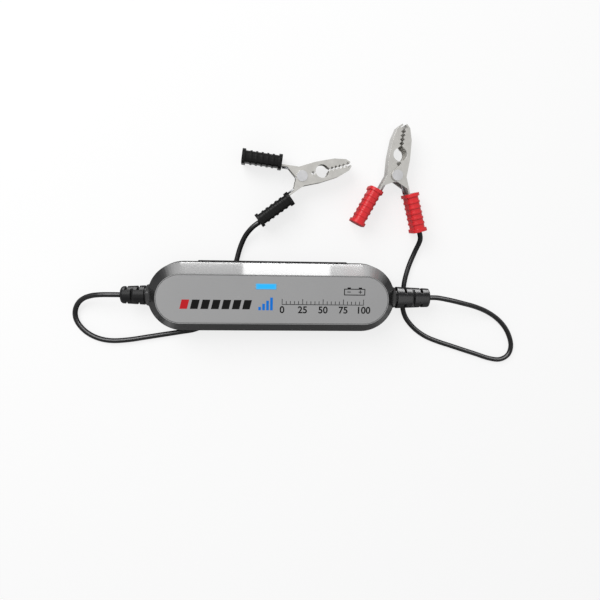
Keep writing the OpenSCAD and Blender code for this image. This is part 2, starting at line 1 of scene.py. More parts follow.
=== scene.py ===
# %% [markdown]
# # A clip-on battery tester on a white bench
# The tester is a slim hand-held box with a lead at each end, and each lead ends in a spring
# clip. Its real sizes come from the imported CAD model, which is loaded first and never moved.
# Everything after that dresses the model: leads, springs, finishes, print and light.

import math

import bmesh
import bpy
from mathutils import Matrix, Vector


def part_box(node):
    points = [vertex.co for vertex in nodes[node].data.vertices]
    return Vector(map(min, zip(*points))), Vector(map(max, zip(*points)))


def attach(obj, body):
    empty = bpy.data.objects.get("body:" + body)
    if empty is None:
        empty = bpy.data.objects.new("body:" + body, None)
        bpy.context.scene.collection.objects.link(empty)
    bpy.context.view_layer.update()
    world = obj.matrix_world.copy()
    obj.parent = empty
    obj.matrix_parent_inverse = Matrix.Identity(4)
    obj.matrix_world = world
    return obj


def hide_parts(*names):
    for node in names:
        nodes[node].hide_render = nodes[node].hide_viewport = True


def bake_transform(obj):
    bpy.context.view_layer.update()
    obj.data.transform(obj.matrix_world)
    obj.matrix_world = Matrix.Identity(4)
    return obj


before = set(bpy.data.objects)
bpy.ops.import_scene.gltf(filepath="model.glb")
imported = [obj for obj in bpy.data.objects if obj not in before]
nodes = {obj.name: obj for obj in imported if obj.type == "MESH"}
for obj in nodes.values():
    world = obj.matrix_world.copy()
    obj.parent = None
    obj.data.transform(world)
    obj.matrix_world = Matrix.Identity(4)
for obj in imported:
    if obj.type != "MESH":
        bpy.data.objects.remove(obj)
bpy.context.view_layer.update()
MM = 0.001

# %% [markdown]
# ## The camera
# The photograph looks down on the tester from almost straight above. A camera can be aimed
# by eye, but here the outline of the housing gave the lens, the place and the tilt by
# fitting, so that what is modelled in millimetres falls on the same pixels.

# %% Camera at the photograph's place
camera_data = bpy.data.cameras.new("photo_camera")
camera_data.lens = 32.04
camera_data.sensor_width = 36.0
camera_data.clip_start = 0.005
camera = bpy.data.objects.new("photo_camera", camera_data)
camera.location = Vector((-8.428, 37.802, 271.103)) * MM
camera.rotation_euler = [math.radians(turn) for turn in (-8.6853, -4.6018, 1.2481)]
bpy.context.scene.collection.objects.link(camera)
bpy.context.scene.camera = camera
print("camera stands", round(camera.location.z, 3), "m above the bench")

# %% [markdown]
# ## The two leads
# Each lead is a limp, jacketed wire. It leaves its strain relief level, droops to the bench
# and runs along it to its clip. It could be a curve with a round bevel, but the springs of
# the clips need a swept mesh anyway, so one sweep serves both. The points are those that the
# CAD tube follows, and a smooth line passes through every one of them.

# %% Routes of the leads, in millimetres
LEAD_DIAMETER, LEAD_SIDES = 2.5, 16
NEGATIVE_ROUTE = [
    (-73.2, 0, 10), (-78.2, 0, 10), (-83, -0.2, 9.2), (-88, -1, 7.2), (-92.6, -2.8, 4.9),
    (-96, -5.8, 2.8), (-97.8, -9.9, 1.5), (-97.4, -14.2, 1.3), (-94.8, -18.4, 1.3),
    (-90.8, -21.7, 1.3), (-85.6, -23.9, 1.3), (-79.5, -24.7, 1.3), (-71.5, -24.1, 1.3),
    (-63.5, -22.8, 1.3), (-55, -21.4, 1.3), (-46.5, -20, 1.3), (-39, -18.6, 1.3),
    (-32.5, -15.2, 1.3), (-27.5, -9.5, 1.3), (-24, -2, 1.3), (-21.2, 6, 1.3), (-18.4, 16, 1.3),
    (-16.5, 23, 1.7), (-13.9, 29, 3.4), (-10.4, 33.4, 5.7), (-7, 36, 6.5),
]
POSITIVE_ROUTE = [
    (78.2, 0, 10), (83.2, 0, 10), (90.4, -1.3, 9.3), (97.5, -3, 7.9), (104.9, -5, 5.7),
    (112.4, -7.9, 3.3), (119, -11.8, 1.7), (123.8, -16.4, 1.3), (126.9, -21.6, 1.3),
    (128.3, -27, 1.3), (127, -31.8, 1.3), (122.6, -34.3, 1.3), (116.6, -33.7, 1.3),
    (109, -31.3, 1.3), (102, -29.1, 1.3), (94.8, -26.8, 1.3), (87.6, -24.5, 1.3),
    (80.8, -21.7, 1.3), (74.6, -17.4, 1.3), (69.8, -11.7, 1.3), (67.8, -5.4, 1.3), (67.8, 1, 1.3),
    (68.4, 8, 1.3), (70.2, 15.5, 1.4), (72.6, 22.5, 2.2), (74.2, 28.8, 5), (73, 33.2, 6.5),
]

# %% A smooth line through points
def smooth_line(route, steps=6):
    """Catmull-Rom line in metres: between two points it bends as their neighbours lie."""
    points = [Vector(place) * MM for place in route]
    line = []
    for i in range(len(points) - 1):
        before, here = points[max(i - 1, 0)], points[i]
        there, after = points[i + 1], points[min(i + 2, len(points) - 1)]
        for k in range(steps):
            t = k / steps
            line.append(here + 0.5 * t * (
                (there - before)
                + t * (2 * before - 5 * here + 4 * there - after)
                + t * t * (3 * here - before - 3 * there + after)
            ))
    return line + [points[-1]]


# %% Sweep a round wire along a line
def sweep(name, line, radius, sides):
    """A closed mesh tube along the points; the ring turns as little as it can on the way."""
    shape = bmesh.new()
    side = Vector((0, 0, 1))
    rings = []
    for i, place in enumerate(line):
        ahead = (line[min(i + 1, len(line) - 1)] - line[max(i - 1, 0)]).normalized()
        side = (side - side.dot(ahead) * ahead).normalized()
        other = ahead.cross(side)
        turns = [2 * math.pi * k / sides for k in range(sides)]
        rings.append([shape.verts.new(place + radius * (math.cos(t) * side + math.sin(t) * other))
                      for t in turns])
    for low, high in zip(rings, rings[1:]):
        for k in range(sides):
            n = (k + 1) % sides
            shape.faces.new((low[k], low[n], high[n], high[k])).smooth = True
    shape.faces.new(rings[0][::-1])
    shape.faces.new(rings[-1])
    bmesh.ops.recalc_face_normals(shape, faces=shape.faces)
    mesh = bpy.data.meshes.new(name)
    shape.to_mesh(mesh)
    shape.free()
    piece = bpy.data.objects.new(name, mesh)
    bpy.context.scene.collection.objects.link(piece)
    print(name, "has", len(mesh.vertices), "points")
    return piece


# %% Lay the leads
lead_lines = {"negative": smooth_line(NEGATIVE_ROUTE), "positive": smooth_line(POSITIVE_ROUTE)}
leads = {}
for side, line in lead_lines.items():
    leads[side] = sweep(side + "_lead_jacket", line, LEAD_DIAMETER / 2 * MM, LEAD_SIDES)
    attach(leads[side], "tester")
    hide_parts(side + "_lead")

# %% [markdown]
# ## The springs of the clips
# A torsion spring sits round each pin: one leg pushes the fixed handle, the curls go two and
# a bit times round, and the other leg pushes the moving handle. A screw modifier could wind
# it, but the legs and the curls are one wire, so a ring of points is swept along one line.
# When the clip opens, the wire has to wind up, but here it is swept once, as one fixed mesh.

# %% One spring by itself
CLIP_HEIGHT = 6.5
HANDLE_ANGLE = 21.8
COIL_RADIUS, SPRING_WIRE, SPRING_PITCH, LEG_LENGTH = 2.75, 1.0, 1.5, 10.0
SPRING_TURN = 2.5 * 360 - 2 * HANDLE_ANGLE
SPRING_RISE = SPRING_PITCH * SPRING_TURN / 360
CURL_STEPS, SPRING_SIDES, LEG_SHARES = 96, 10, (1, 0.66, 0.33, 0.1)
PIVOTS = {"negative": (13.117, 58.355, 15.0), "positive": (59.339, 59.993, 84.0)}


def spring_line():
    """Leg, curls and leg in millimetres, about a pin that stands upright at the origin."""
    curls = []
    for k in range(CURL_STEPS + 1):
        share = k / CURL_STEPS
        angle = math.radians(270 + HANDLE_ANGLE + SPRING_TURN * share)
        flat = COIL_RADIUS * math.cos(angle), COIL_RADIUS * math.sin(angle)
        curls.append(Vector((*flat, SPRING_RISE * (share - 0.5))))
    slope = math.radians(HANDLE_ANGLE)
    low_leg = Vector((-math.cos(slope), -math.sin(slope), 0)) * LEG_LENGTH
    high_leg = Vector((-math.cos(slope), math.sin(slope), 0)) * LEG_LENGTH
    line = [curls[0] + s * low_leg for s in LEG_SHARES] + curls
    return line + [curls[-1] + s * high_leg for s in reversed(LEG_SHARES)]


# %% Put them round their pins
def wind_spring(side):
    x, y, heading = PIVOTS[side]
    turned = Matrix.Rotation(math.radians(heading), 4, "Z")
    on_bench = Matrix.Translation((x, y, CLIP_HEIGHT)) @ turned
    line = [on_bench @ p * MM for p in spring_line()]
    spring = sweep(side + "_clip_coil", line, SPRING_WIRE / 2 * MM, SPRING_SIDES)
    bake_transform(spring)
    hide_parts(side + "_clip_spring")
    return spring


springs = {side: wind_spring(side) for side in PIVOTS}

# %% [markdown]
# ## What hangs on each lead
# Each lead's length is summed along its line, and the pieces that go with it are gathered:
# the whole spring clip with its CAD parts and its spring, and the strain relief and inner wire.

CLIP_PARTS = ("fixed_jaw", "moving_jaw", "pin", "fixed_grip", "moving_grip", "wire_end")
for side, line in lead_lines.items():
    clip = [nodes[f"{side}_clip_{part}"] for part in CLIP_PARTS] + [springs[side]]
    clip += [nodes[f"{side}_{part}"] for part in ("strain_relief", "inner_wire")]
    length = sum((b - a).length for a, b in zip(line, line[1:]))
    print(side, "lead is", round(length / MM, 1), "mm long and carries", len(clip), "pieces")

# %% [markdown]
# ## Shaders written as sums
# A finish is a tree of nodes, and wiring each node by hand hides what it works out. This
# small class wraps one socket, so that `0.4 + 0.2 * noise` adds the Math nodes by itself.
# Any other node comes from one method: its settings first, then what goes into its sockets.

# %% One class for every shader node
class Shade:
    """A socket in a material's tree. Sums with numbers or other sockets add Math nodes."""

    def __init__(self, tree, socket=None):
        self.tree = tree
        self.socket = socket

    def plug(self, made, inputs):
        for name, value in inputs.items():
            if isinstance(value, Shade):
                self.tree.links.new(value.socket, made.inputs[name])
            else:
                made.inputs[name].default_value = value

    def node(self, kind, settings, inputs, output=0):
        made = self.tree.nodes.new("ShaderNode" + kind)
        for name, value in settings.items():
            if name == "stops":
                for old, (position, level) in zip(made.color_ramp.elements, (value[0], value[-1])):
                    old.position, old.color = position, (level, level, level, 1.0)
                for position, level in value[1:-1]:
                    made.color_ramp.elements.new(position).color = (level, level, level, 1.0)
            else:
                setattr(made, name, value)
        self.plug(made, inputs)
        return Shade(self.tree, made.outputs[output])

    def sum(self, operation, first, second):
        return self.node("Math", {"operation": operation}, {0: first, 1: second})

    def __add__(self, other):
        return self.sum("ADD", self, other)

    __radd__ = __add__

    def __sub__(self, other):
        return self.sum("SUBTRACT", self, other)

    def __rsub__(self, other):
        return self.sum("SUBTRACT", other, self)

    def __mul__(self, other):
        return self.sum("MULTIPLY", self, other)

    __rmul__ = __mul__

    def __truediv__(self, other):
        return self.sum("DIVIDE", self, other)

    def __pow__(self, other):
        return self.sum("POWER", self, other)

    def __abs__(self):
        return self.node("Math", {"operation": "ABSOLUTE"}, {0: self})


print("shader sums ready")

# %% [markdown]
# ## Ingredients that several finishes share
# Object coordinates are in metres and every part sits at the origin, so scaled by a thousand
# they are millimetres on the real thing: a noise of scale 5 has grains a fifth of a
# millimetre wide. The Bevel node rounds the normals at sharp edges, and where its normal
# turns away from the true one there is an edge, which handling rubs a little paler.

# %% Start a finish, mix two colours
def start_finish(name):
    material = bpy.data.materials.new(name)
    material.use_nodes = True
    surface = Shade(material.node_tree)
    place = surface.node("TexCoord", {}, {}, "Object")
    in_mm = surface.node("VectorMath", {"operation": "SCALE"}, {0: place, "Scale": 1000.0})
    return material, surface, material.node_tree.nodes["Principled BSDF"], in_mm


def tint(mask, low, high):
    """The colour low where the mask is 0 and high where it is 1."""
    return mask.node("Mix", {"data_type": "RGBA"}, {0: mask, 6: low, 7: high}, 2)


def scaled(colour, factor):
    return (*(c * factor for c in colour), 1.0)


def noise(surface, in_mm, scale, detail=2.0):
    return surface.node("TexNoise", {}, {"Vector": in_mm, "Scale": scale, "Detail": detail})


# %% Parts of a vector, bumps and soft edges
EDGE_CONTRAST = 5.0


def along(vector, axis):
    """One part of a vector: 0 for x, 1 for y and 2 for z."""
    return vector.node("SeparateXYZ", {}, {0: vector}, axis)


def capped(value, factor):
    """Their product, held between 0 and 1."""
    return value.node("Math", {"operation": "MULTIPLY", "use_clamp": True}, {0: value, 1: factor})


def bumps(height, depth, **below):
    """A normal that follows a height; below may name the normal that it starts from."""
    inputs = {"Strength": 1.0, "Distance": depth * MM, "Height": height, **below}
    return height.node("Bump", {}, inputs)


def round_normal(surface, radius):
    return surface.node("Bevel", {"samples": 6}, {"Radius": radius * MM})


def edges(rounded):
    """1 at edges, where the rounded normal turns away from the true one."""
    both = {0: rounded, 1: rounded.node("NewGeometry", {}, {}, "Normal")}
    same = rounded.node("VectorMath", {"operation": "DOT_PRODUCT"}, both, "Value")
    return capped(1 - same, EDGE_CONTRAST)


print("shared ingredients ready")

# %% [markdown]
# ## Moulded plastic and rubber
# The housing, the strain reliefs, the leads and the clip grips are all moulded. What tells
# them apart is colour, gloss and the grain of the mould: a spark-eroded mould leaves fine
# pits, a polished one only a faint waviness. One recipe with a few numbers makes them all.

# %% Recipe for a moulded finish
def moulded(name, colour, rough, grain, depth, gloss=0.5, edge=0.25, worn=0.25):
    material, surface, shader, in_mm = start_finish(name)
    cloud = noise(surface, in_mm, 0.12, 4.0)
    fine = noise(surface, in_mm, grain, 3.0)
    rounded = round_normal(surface, edge)
    body = tint(cloud, scaled(colour, 0.8), scaled(colour, 1.2))
    rubbed = scaled([c * 1.6 + 0.02 for c in colour], 1.0)
    surface.plug(shader, {
        "Base Color": tint(edges(rounded) * worn, body, rubbed),
        "Roughness": rough - 0.06 + 0.12 * cloud + 0.04 * fine,
        "Specular IOR Level": gloss,
        "Normal": bumps(fine, depth, Normal=rounded),
    })
    print(name, "has", len(material.node_tree.nodes), "nodes")
    return material


shell_moulding = moulded("shell_moulding", (0.022, 0.022, 0.023), 0.46, 4.5, 0.03, gloss=0.35)
side_rubber = moulded("side_rubber", (0.016, 0.016, 0.017), 0.66, 3.2, 0.05, gloss=0.3)
relief_rubber = moulded(
    "relief_rubber", (0.006, 0.006, 0.0066), 0.28, 2.6, 0.012, gloss=0.13, edge=0.35, worn=0.6)
lead_jacket = moulded("lead_jacket", (0.005, 0.005, 0.0055), 0.32, 1.8, 0.006, gloss=0.18)
grip_black = moulded(
    "grip_black", (0.004, 0.004, 0.004), 0.34, 0.9, 0.012, gloss=0.16, edge=0.5, worn=0.3)
grip_red = moulded(
    "grip_red", (0.68, 0.022, 0.028), 0.32, 0.9, 0.012, gloss=0.35, edge=0.5, worn=0.3)
chip_epoxy = moulded("chip_epoxy", (0.018, 0.018, 0.019), 0.6, 7.0, 0.02)
sleeve_black = moulded("sleeve_black", (0.012, 0.012, 0.016), 0.32, 1.2, 0.008)
cement = moulded("cement", (0.55, 0.54, 0.5), 0.75, 5.0, 0.05)

# %% [markdown]
# ## Sheet metal, pins, screws and wire
# The jaws are stamped from thin nickel-plated steel. Plating is bright but never a perfect
# mirror: the rolled sheet leaves fine streaks, handling leaves dull clouds, and cut edges
# are a little paler. Metallic stays at one, and the roughness carries the wear.

# %% Recipe for a metal finish
STREAK_DEPTH, CUT_EDGE = 0.004, 0.12


def metal(name, colour, rough, streak):
    """The streak stretches the lines: less than 1 along an axis makes them longer that way."""
    material, surface, shader, in_mm = start_finish(name)
    stretched = surface.node("VectorMath", {"operation": "MULTIPLY"}, {0: in_mm, 1: streak})
    lines = noise(surface, stretched, 2.4, 4.0)
    cloud = noise(surface, in_mm, 0.35, 5.0)
    rounded = round_normal(surface, CUT_EDGE)
    plate = tint(cloud, scaled(colour, 0.82), scaled(colour, 1.05))
    surface.plug(shader, {
        "Base Color": tint(edges(rounded) * 0.5, plate, scaled(colour, 1.2)),
        "Metallic": 1.0,
        "Roughness": rough - 0.08 + 0.14 * cloud + 0.1 * lines,
        "Normal": bumps(lines, STREAK_DEPTH, Normal=rounded),
    })
    print(name, "has", len(material.node_tree.nodes), "nodes")
    return material


jaw_nickel = metal("jaw_nickel", (0.52, 0.51, 0.485), 0.28, (0.35, 1.0, 3.0))
pin_steel = metal("pin_steel", (0.56, 0.56, 0.57), 0.3, (1.0, 1.0, 0.4))
spring_steel = metal("spring_steel", (0.42, 0.425, 0.44), 0.32, (1.0, 1.0, 1.0))
screw_zinc = metal("screw_zinc", (0.5, 0.51, 0.53), 0.36, (1.0, 1.0, 0.3))
can_tin = metal("can_tin", (0.7, 0.7, 0.69), 0.3, (0.3, 2.0, 1.0))
bare_copper = metal("bare_copper", (0.78, 0.38, 0.2), 0.34, (0.4, 2.0, 2.0))

# %% [markdown]
# ## The grey face panel
# The face is a satin grey film. From a distance it is one even tone, but close up it holds
# fine flakes that catch the light. A flat grey would look like paper, so a small noise
# lifts the colour and the gloss of single grains, and a slow one keeps the tone alive.

# %% Finish of the face panel
FACE_GREY, FLAKE_DEPTH = (0.315, 0.315, 0.317), 0.004


def film_grain(surface, in_mm):
    """Colour and flakes of the grey film."""
    cloud = noise(surface, in_mm, 0.05, 2.0)
    flakes = noise(surface, in_mm, 6.0, 2.0)
    tone = tint(cloud, scaled(FACE_GREY, 0.96), scaled(FACE_GREY, 1.04))
    return tint(0.22 * flakes ** 3, tone, scaled(FACE_GREY, 2.2)), flakes


def face_film():
    material, surface, shader, in_mm = start_finish("face_film")
    speckled, flakes = film_grain(surface, in_mm)
    surface.plug(shader, {
        "Base Color": speckled,
        "Roughness": 0.4 + 0.16 * flakes,
        "Specular IOR Level": 0.4,
        "Normal": bumps(flakes, FLAKE_DEPTH),
    })
    print(material.name, "has", len(material.node_tree.nodes), "nodes")
    return material


panel_film = face_film()

# %% [markdown]
# ## The sloping bezel
# The bezel is polished black plastic, and the thin flat edge round the panel is printed grey
# like the film, so that the face seems to reach the slope. Instead of more materials, the
# surface itself decides: where it looks straight up near the top, it takes the colour and
# the dullness of the film, and below the slope the upright wall is matt, as on the rear shell.

# %% Finish of the bezel
BEZEL_BLACK = (0.012, 0.012, 0.0125)
FLAT_FROM, WALL_UP_TO, STRAIGHT_UP = 21.0, 13.7, 0.97
BEZEL_EDGE, WAVE_DEPTH = 0.5, 0.004


def bezel_finish():
    material, surface, shader, in_mm = start_finish("bezel_gloss")
    upward, height = along(surface.node("TexCoord", {}, {}, "Normal"), 2), along(in_mm, 2)
    flat = surface.sum("GREATER_THAN", upward, STRAIGHT_UP)
    flat = flat * surface.sum("GREATER_THAN", height, FLAT_FROM)
    wall = surface.sum("LESS_THAN", height, WALL_UP_TO)
    cloud = noise(surface, in_mm, 0.12, 4.0)
    wave = noise(surface, in_mm, 0.8, 2.0)
    gloss_black = tint(cloud, scaled(BEZEL_BLACK, 0.8), scaled(BEZEL_BLACK, 1.2))
    surface.plug(shader, {
        "Base Color": tint(flat, gloss_black, film_grain(surface, in_mm)[0]),
        "Roughness": 0.17 + 0.06 * cloud + 0.28 * flat + 0.34 * wall,
        "Specular IOR Level": 0.5,
        "Normal": bumps(wave, WAVE_DEPTH, Normal=round_normal(surface, BEZEL_EDGE)),
    })
    print(material.name, "has", len(material.node_tree.nodes), "nodes")
    return material


bezel_gloss = bezel_finish()

# %% [markdown]
# ## The lit bar
# A short light pipe comes up through the face and glows blue. Its light comes from one lamp
# on the board below, so it is full in the middle and dies away over the last tenths of a
# millimetre at its rim. The glow is an emission whose colour follows the larger of the two
# distances from the middle, each counted in half lengths of the bar. A high power keeps the
# fading to the rim.

# %% Finish of the light bar
BAR_SIZE, RIM_POWERS = (9.7, 2.7), (12, 5)
BAR_BLUE, BAR_RIM = (0.008, 0.47, 1.0, 1.0), (0.18, 0.38, 0.52, 1.0)


def lit_bar():
    material, surface, shader, in_mm = start_finish("lit_bar")
    low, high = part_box("light_bar")
    middle = (low + high) / 2 / MM
    shares = []
    for axis, (size, power) in enumerate(zip(BAR_SIZE, RIM_POWERS)):
        shares.append(abs((along(in_mm, axis) - middle[axis]) / (size / 2)) ** power)
    rim = surface.sum("MAXIMUM", *shares)
    haze = noise(surface, in_mm, 1.5, 2.0)
    surface.plug(shader, {
        "Base Color": (0.004, 0.03, 0.06, 1.0),
        "Roughness": 0.3 + 0.1 * haze,
        "Specular IOR Level": 0.3,
        "Emission Color": tint(rim * (0.5 + haze), BAR_BLUE, BAR_RIM),
        "Emission Strength": 0.95,
    })
    print(material.name, "glows over", BAR_SIZE, "mm")
    return material


bar_glow = lit_bar()

# %% [markdown]
# ## The circuit board and what sits on it
# Nobody sees the board while the housing is shut, but the parts are real, so they get real
# finishes: green lacquer over faint tracks, tinned cans, black epoxy and clear lamp resin.

# %% Finishes inside the housing
def board_lacquer():
    material, surface, shader, in_mm = start_finish("board_lacquer")
    tracks = surface.node("TexBrick", {"offset": 0.37}, {
        "Vector": in_mm, "Scale": 0.32, "Mortar Size": 0.03,
        "Color1": (0.008, 0.07, 0.03, 1.0), "Color2": (0.01, 0.085, 0.038, 1.0),
        "Mortar": (0.03, 0.16, 0.07, 1.0),
    })
    cloud = noise(surface, in_mm, 0.4, 3.0)
    surface.plug(shader, {"Base Color": tracks, "Roughness": 0.28 + 0.14 * cloud})
    print(material.name, "has", len(material.node_tree.nodes), "nodes")
    return material


def lamp_resin():
    material, surface, shader, in_mm = start_finish("lamp_resin")
    cloud = noise(surface, in_mm, 1.2, 2.0)
    clear = tint(cloud, (0.55, 0.68, 0.8, 1.0), (0.75, 0.84, 0.9, 1.0))
    surface.plug(shader, {"Base Color": clear, "Roughness": 0.12 + 0.1 * cloud})
    return material


green_board = board_lacquer()
clear_lamp = lamp_resin()
wire_black = moulded("wire_black", (0.012, 0.012, 0.013), 0.4, 2.0, 0.01)
wire_red = moulded("wire_red", (0.5, 0.02, 0.02), 0.4, 2.0, 0.01)

# %% Give every part its finish
FINISHES = {
    "rear_shell": shell_moulding, "front_bezel": bezel_gloss, "face_panel": panel_film,
    "light_bar": bar_glow, "side_grips": side_rubber, "housing_screws": screw_zinc,
    "circuit_board": green_board, "board_screws": screw_zinc, "radio_module": green_board,
    "radio_can": can_tin, "measuring_chip": chip_epoxy, "crystal": can_tin,
    "status_led": clear_lamp, "load_resistors": cement, "load_transistor": chip_epoxy,
    "input_capacitor": sleeve_black, "input_fuse": cement, "regulator": chip_epoxy,
}
for side, wire, grip in (("negative", wire_black, grip_black), ("positive", wire_red, grip_red)):
    FINISHES[side + "_strain_relief"] = relief_rubber
    FINISHES[side + "_inner_wire"] = wire
    FINISHES[side + "_conductor"] = bare_copper
    FINISHES[side + "_clip_fixed_jaw"] = jaw_nickel
    FINISHES[side + "_clip_moving_jaw"] = jaw_nickel
    FINISHES[side + "_clip_pin"] = pin_steel
    FINISHES[side + "_clip_fixed_grip"] = grip
    FINISHES[side + "_clip_moving_grip"] = grip
    FINISHES[side + "_clip_wire_end"] = bare_copper
for name, finish in FINISHES.items():
    nodes[name].data.materials.clear()
    nodes[name].data.materials.append(finish)
for lead in leads.values():
    lead.data.materials.append(lead_jacket)
for spring in springs.values():
    spring.data.materials.append(spring_steel)
print(len(FINISHES), "parts have their finish; without one:", sorted(set(nodes) - set(FINISHES)))

# %% [markdown]
# ## The print on the face
# The face carries a line of print. Ink is thin but real, so it is made as flat filled curves
# a few hundredths of a millimetre thick that lie on the panel: a closed outline fills itself,
# and an outline inside it becomes a hole. The marks are plain ones: a charge gauge of slanted
# blocks, rising bars for the radio link, a scale with numbers and a small battery sign.

# %% Inks and the printing helper
INK_THICKNESS = 0.03
face_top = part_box("face_panel")[1].z


def ink(name, colour):
    material, surface, shader, in_mm = start_finish(name)
    speck = noise(surface, in_mm, 8.0, 2.0)
    surface.plug(shader, {
        "Base Color": tint(speck, scaled(colour, 0.85), scaled(colour, 1.15)),
        "Roughness": 0.34 + 0.2 * speck,
        "Specular IOR Level": 0.1,
    })
    return material


ink_black = ink("ink_black", (0.004, 0.004, 0.004))
ink_red = ink("ink_red", (0.5, 0.015, 0.02))
ink_blue = ink("ink_blue", (0.006, 0.17, 0.62))
print("ink is", INK_THICKNESS, "mm thick")

# %% Laying print on the face


def lay_on_face(piece, curve, colour):
    curve.extrude = INK_THICKNESS / 2 * MM
    curve.materials.append(colour)
    bpy.context.scene.collection.objects.link(piece)
    piece.location.z = face_top + INK_THICKNESS / 2 * MM
    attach(piece, "tester")


def print_outlines(name, outlines, colour):
    curve = bpy.data.curves.new(name, "CURVE")
    curve.dimensions = "2D"
    curve.fill_mode = "BOTH"
    for outline in outlines:
        spline = curve.splines.new("POLY")
        spline.points.add(len(outline) - 1)
        spline.use_cyclic_u = True
        for point, (x, y) in zip(spline.points, outline):
            point.co = (x * MM, y * MM, 0, 1)
    lay_on_face(bpy.data.objects.new(name, curve), curve, colour)
    print(name, "has", len(outlines), "outlines")


def bar(x, y, width, height, slant=0.0):
    """Corners of an upright block from its lower left corner; the slant moves its top."""
    return [(x, y), (x + width, y), (x + width + slant, y + height), (x + slant, y + height)]


# %% Charge gauge and link bars
GAUGE_START, GAUGE_STEP, GAUGE_BLOCKS = -43.9, 4.85, 7
LINK_START, LINK_STEP, LINK_BARS = -7.2, 1.85, 4
gauge = [bar(GAUGE_START + GAUGE_STEP * k, -4.6, 3.5, 4.4, 1.1) for k in range(GAUGE_BLOCKS)]
print_outlines("gauge_low", gauge[:1], ink_red)
print_outlines("gauge_blocks", gauge[1:], ink_black)
link = [bar(LINK_START + LINK_STEP * k, -5, 1.25, 1.6 + 1.5 * k) for k in range(LINK_BARS)]
print_outlines("link_bars", link, ink_blue)

# %% Scale with numbers
SCALE_START, TICK_STEP, TICKS, LONG_EVERY = 4.0, 1.95, 20, 5
SHORT_TICK, LONG_TICK, SCALE_LINE = 1.4, 2.4, 0.3
NUMBER_SIZE, NUMBER_Y, NUMBER_BOLD = 4.6, -6.2, 0.09
ticks = []
for k in range(TICKS + 1):
    x, tall = SCALE_START + TICK_STEP * k, LONG_TICK if k % LONG_EVERY == 0 else SHORT_TICK
    ticks.append(bar(x - SCALE_LINE / 2, -1.9, SCALE_LINE, tall))
scale_length = TICK_STEP * TICKS
base_line = bar(SCALE_START - SCALE_LINE / 2, -2.3, scale_length + SCALE_LINE, SCALE_LINE)
print_outlines("scale_ticks", ticks + [base_line], ink_black)
for k in range(TICKS // LONG_EVERY + 1):
    number = bpy.data.curves.new(f"scale_number_{k}", "FONT")
    number.body = str(25 * k)
    number.size = NUMBER_SIZE * MM
    number.align_x = "CENTER"
    number.offset = NUMBER_BOLD * MM
    piece = bpy.data.objects.new(f"scale_number_{k}", number)
    piece.location = Vector((SCALE_START + LONG_EVERY * TICK_STEP * k, NUMBER_Y, 0)) * MM
    lay_on_face(piece, number, ink_black)
print("scale runs over", round(scale_length, 1), "mm")

# %% Small battery sign
case = [(33.4, 2.5), (43.6, 2.5), (43.6, 5.7), (42, 5.7), (42, 6.3), (40.4, 6.3), (40.4, 5.7),
        (36.6, 5.7), (36.6, 6.3), (35, 6.3), (35, 5.7), (33.4, 5.7)]
plus = [(40.4, 3.95), (41.05, 3.95), (41.05, 3.3), (41.4, 3.3), (41.4, 3.95), (42.05, 3.95),
        (42.05, 4.3), (41.4, 4.3), (41.4, 4.95), (41.05, 4.95), (41.05, 4.3), (40.4, 4.3)]
inside, minus = bar(33.8, 2.9, 9.4, 2.4), bar(34.9, 3.95, 1.7, 0.35)
print_outlines("battery_sign", [case, inside, minus, plus], ink_black)

# %% [markdown]
# ## Bench and light
# The photograph has a pure white ground. More lamps would bleach the tester, so the bench
# itself glows a little, but only for rays that come straight from the camera or from a
# mirror: the object is lit at a plain level and the bench still shows its soft shadow. The
# polished slopes mirror the bench close by, and there the photograph shows them dark grey,
# so for mirror rays the bench carries a painted shade: grey near the housing, white further off.

# %% White bench
HALF_BENCH, BENCH_BELOW = 8.0, 0.02
bench_mesh = bpy.data.meshes.new("bench")
corners = [(HALF_BENCH * x, HALF_BENCH * y, 0) for x, y in ((-1, -1), (1, -1), (1, 1), (-1, 1))]
bench_mesh.from_pydata(corners, [], [(0, 1, 2, 3)])
bench = bpy.data.objects.new("bench", bench_mesh)
bench.location.z = -BENCH_BELOW * MM
bpy.context.scene.collection.objects.link(bench)
print("bench is", 2 * HALF_BENCH, "m wide")

# %% Which rays see the bench, and where
# Painted shade seen in mirrors: full up to the first distance from the housing, gone at the
# second.
END_CENTRE, MIRRORED_SHADE_FULL, MIRRORED_SHADE_GONE = 43.5, 50.0, 75.0


def from_ray(surface, kind):
    """1 for rays of this kind, otherwise 0."""
    return surface.node("LightPath", {}, {}, f"Is {kind} Ray")


def seen_directly(surface):
    """1 for rays from the camera, a mirror or through glass, and 0 for light that bounces."""
    return sum(from_ray(surface, kind) for kind in ("Camera", "Glossy", "Transmission"))


def close_to_housing(surface, in_mm):
    """1 up to one distance from the housing's middle line, fading to 0 at the other."""
    x, y = along(in_mm, 0), along(in_mm, 1)
    beyond = surface.sum("MAXIMUM", abs(x) - END_CENTRE, 0.0)
    away = (beyond * beyond + y * y) ** 0.5
    return capped(MIRRORED_SHADE_GONE - away, 1 / (MIRRORED_SHADE_GONE - MIRRORED_SHADE_FULL))


# %% Finish of the bench
# The grey is a painted shade on the bench that only mirror rays see, near the housing.
BENCH_WHITE, BENCH_MIRRORED_SHADE, BENCH_GLOW = (0.94, 0.94, 0.94), (0.24, 0.24, 0.24), 0.76
bench_white, surface, shader, in_mm = start_finish("bench_white")
grey = close_to_housing(surface, in_mm) * from_ray(surface, "Glossy")
surface.plug(shader, {
    "Base Color": tint(grey, (*BENCH_WHITE, 1.0), (*BENCH_MIRRORED_SHADE, 1.0)),
    "Roughness": 0.9,
    "Specular IOR Level": 0.0,
})
glow = surface.node("Emission", {}, {"Color": (1.0, 1.0, 1.0, 1.0), "Strength": 1.0})
lit = Shade(surface.tree, shader.outputs[0])
share = BENCH_GLOW * (seen_directly(surface) - grey)
mixed = surface.node("MixShader", {}, {0: share, 1: lit, 2: glow})
surface.plug(bench_white.node_tree.nodes["Material Output"], {"Surface": mixed})
bench_mesh.materials.append(bench_white)
print("bench glows by", BENCH_GLOW, "where it is seen directly")

